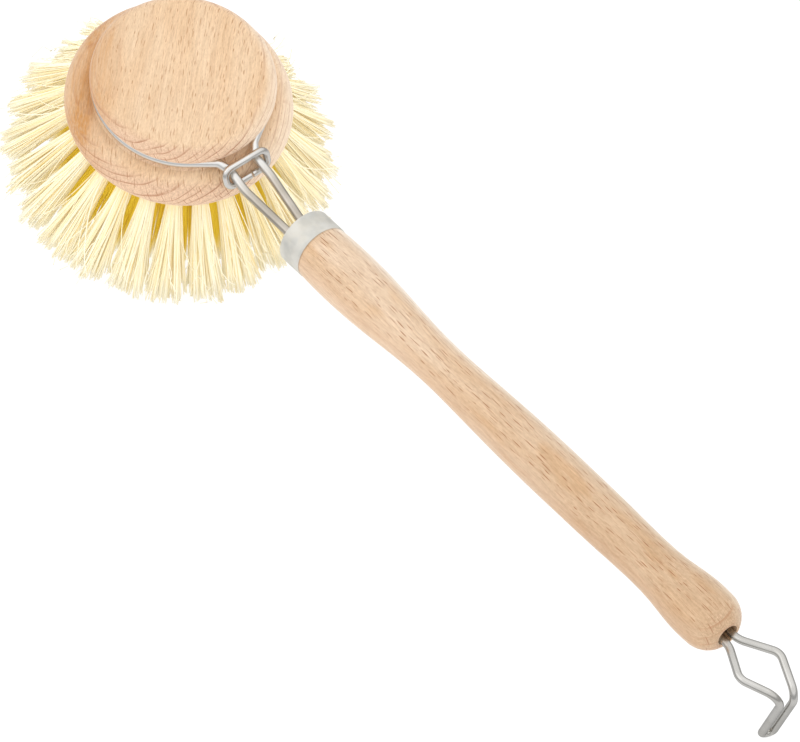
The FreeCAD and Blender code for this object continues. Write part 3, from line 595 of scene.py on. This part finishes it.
RINGS = [
    ("fibres_outer_left", "tufts_outer", 20.4, -11.55, 35.0, 24.2, 3.8, 4.4, 24, 12, 24, 240, 11, 0.35, 1.3, fibre_front),
    ("fibres_outer_right", "tufts_outer", 20.4, -11.55, 35.0, 24.2, 3.8, 4.4, 24, 0, 12, 240, 12, 0.35, 1.3, fibre_front),
    ("fibres_second", "tufts_second", 15.0, -12.20, 22.0, 24.4, 4.0, 4.7, 17, 0, 17, 195, 23, 0.2, 0.7, fibre_back),
    ("fibres_third", "tufts_third", 9.4, -12.70, 12.0, 24.0, 3.6, 4.0, 11, 0, 11, 200, 37, 0.1, 0.8, fibre_back),
    ("fibres_inner", "tufts_inner", 4.3, -12.94, 4.0, 23.8, 3.1, 3.1, 5, 0, 5, 200, 41, 0.0, 0.9, fibre_back),
]
fibre_pieces = bpy.data.collections.new("fibre_pieces")
inner_pieces = bpy.data.collections.new("inner_fibre_pieces")
for name, node, r0, z0, splay, length, tip_a, tip_b, count, first, last, per, seed, flare, fan, material in RINGS:
    piece = fibre_ring(name, r0, z0, splay, length, tip_a, tip_b, count, first, last, per, seed, flare, fan, material)
    fibre_pieces.objects.link(piece)
    if material is fibre_back:
        inner_pieces.objects.link(piece)
    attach(piece, "head")
    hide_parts(node)


# ---------------------------------------------------------------------------
# Finishes of the turned and bent pieces
# ---------------------------------------------------------------------------
finish = {
    "head_cap": head_wood,
    "head_block": head_wood,
    "handle": handle_wood,
    "wire_holder": spring_steel,
    "lock_link": link_steel,
    "hanging_hook": hook_steel,
    "ferrule": ferrule_tin,
    "anchors_outer": anchor_steel,
    "anchors_second": anchor_steel,
    "anchors_third": anchor_steel,
    "anchors_inner": anchor_steel,
}
for name, material in finish.items():
    if name not in nodes:
        continue
    data = nodes[name].data
    if len(data.materials) == 0:
        data.materials.append(material)
    for slot in range(len(data.materials)):
        data.materials[slot] = material


# ---------------------------------------------------------------------------
# Floor and light
# ---------------------------------------------------------------------------
floor_mesh = bpy.data.meshes.new("floor")
reach = 6.0
floor_mesh.from_pydata([(-reach, -reach, -0.0003), (reach, -reach, -0.0003), (reach, reach, -0.0003), (-reach, reach, -0.0003)], [], [(0, 1, 2, 3)])
floor = bpy.data.objects.new("floor", floor_mesh)
scene.collection.objects.link(floor)
floor.visible_glossy = False
g = Tree("studio_floor")
g.bsdf.inputs["Base Color"].default_value = (0.26, 0.26, 0.26, 1.0)
g.bsdf.inputs["Roughness"].default_value = 0.9
g.bsdf.inputs["Specular IOR Level"].default_value = 0.1
g.bsdf.inputs["Emission Color"].default_value = (1.0, 1.0, 1.0, 1.0)
g.bsdf.inputs["Emission Strength"].default_value = 0.86
floor_mesh.materials.append(g.mat)

# soft white surround, dimmer at the horizon
world = bpy.data.worlds.new("studio")
scene.world = world
world.use_nodes = True
wt = world.node_tree
wt.nodes.clear()
w_out = wt.nodes.new("ShaderNodeOutputWorld")
w_bg = wt.nodes.new("ShaderNodeBackground")
w_tc = wt.nodes.new("ShaderNodeTexCoord")
w_xyz = wt.nodes.new("ShaderNodeSeparateXYZ")
w_half = wt.nodes.new("ShaderNodeMath")
w_half.operation = "MULTIPLY_ADD"
w_half.inputs[1].default_value = 0.5
w_half.inputs[2].default_value = 0.5
w_ramp = wt.nodes.new("ShaderNodeValToRGB")
w_ramp.color_ramp.interpolation = "EASE"
w_shine = wt.nodes.new("ShaderNodeValToRGB")
w_shine.color_ramp.interpolation = "EASE"
for ramp, sky in ((w_ramp, [(0.36, 0.86), (0.50, 0.95), (0.82, 0.92)]),
                  (w_shine, [(0.30, 0.80), (0.45, 0.42), (0.60, 0.50), (0.74, 1.0)])):
    while len(ramp.color_ramp.elements) < len(sky):
        ramp.color_ramp.elements.new(0.5)
    for element, (at, level) in zip(ramp.color_ramp.elements, sky):
        element.position = at
        element.color = (level, level, level, 1.0)
w_path = wt.nodes.new("ShaderNodeLightPath")
w_mix = wt.nodes.new("ShaderNodeMix")
w_mix.data_type = "RGBA"
w_bg.inputs["Strength"].default_value = 1.0
wt.links.new(w_tc.outputs["Generated"], w_xyz.inputs[0])
wt.links.new(w_xyz.outputs["Z"], w_half.inputs[0])
wt.links.new(w_half.outputs[0], w_ramp.inputs[0])
wt.links.new(w_half.outputs[0], w_shine.inputs[0])
wt.links.new(w_path.outputs["Is Glossy Ray"], w_mix.inputs[0])
wt.links.new(w_ramp.outputs[0], w_mix.inputs[6])
wt.links.new(w_shine.outputs[0], w_mix.inputs[7])
wt.links.new(w_mix.outputs[2], w_bg.inputs["Color"])
wt.links.new(w_bg.outputs[0], w_out.inputs[0])


def softbox(name, direction, distance, size, power):
    data = bpy.data.lights.new(name, "AREA")
    data.shape = "DISK"
    data.size = size
    data.energy = power
    lamp = bpy.data.objects.new(name, data)
    scene.collection.objects.link(lamp)
    toward = Vector(direction).normalized()
    lamp.location = Vector((-0.01, 0.0, 0.02)) + toward * distance
    lamp.rotation_euler = toward.to_track_quat("Z", "Y").to_euler()
    return lamp


softbox("key", (0.14, 0.20, 0.95), 1.3, 1.1, 0.4)
softbox("fill", (-0.3, -0.55, 0.8), 1.4, 1.2, 1.1)


def glow(name, direction, strength, pieces):
    """Weak light for the fibres alone, in place of the light that passes through them."""
    data = bpy.data.lights.new(name, "SUN")
    data.energy = strength
    data.angle = math.radians(60.0)
    data.color = (1.0, 0.96, 0.89)
    data.use_shadow = False
    lamp = bpy.data.objects.new(name, data)
    scene.collection.objects.link(lamp)
    lamp.rotation_euler = Vector(direction).to_track_quat("Z", "Y").to_euler()
    lamp.light_linking.receiver_collection = pieces
    return lamp


glow("glow_front", (0.55, -0.38, 0.75), 1.0, fibre_pieces)
glow("glow_left", (-0.75, -0.35, 0.40), 0.8, fibre_pieces)
glow("glow_back", (0.20, 0.85, 0.40), 0.8, fibre_pieces)
glow("glow_under", (0.0, 0.0, -1.0), 0.6, fibre_pieces)
glow("glow_gaps", (0.50, -0.50, 0.60), 1.0, inner_pieces)

scene.view_settings.view_transform = "Standard"
scene.view_settings.look = "None"
scene.view_settings.exposure = 0.0
scene.view_settings.gamma = 1.0
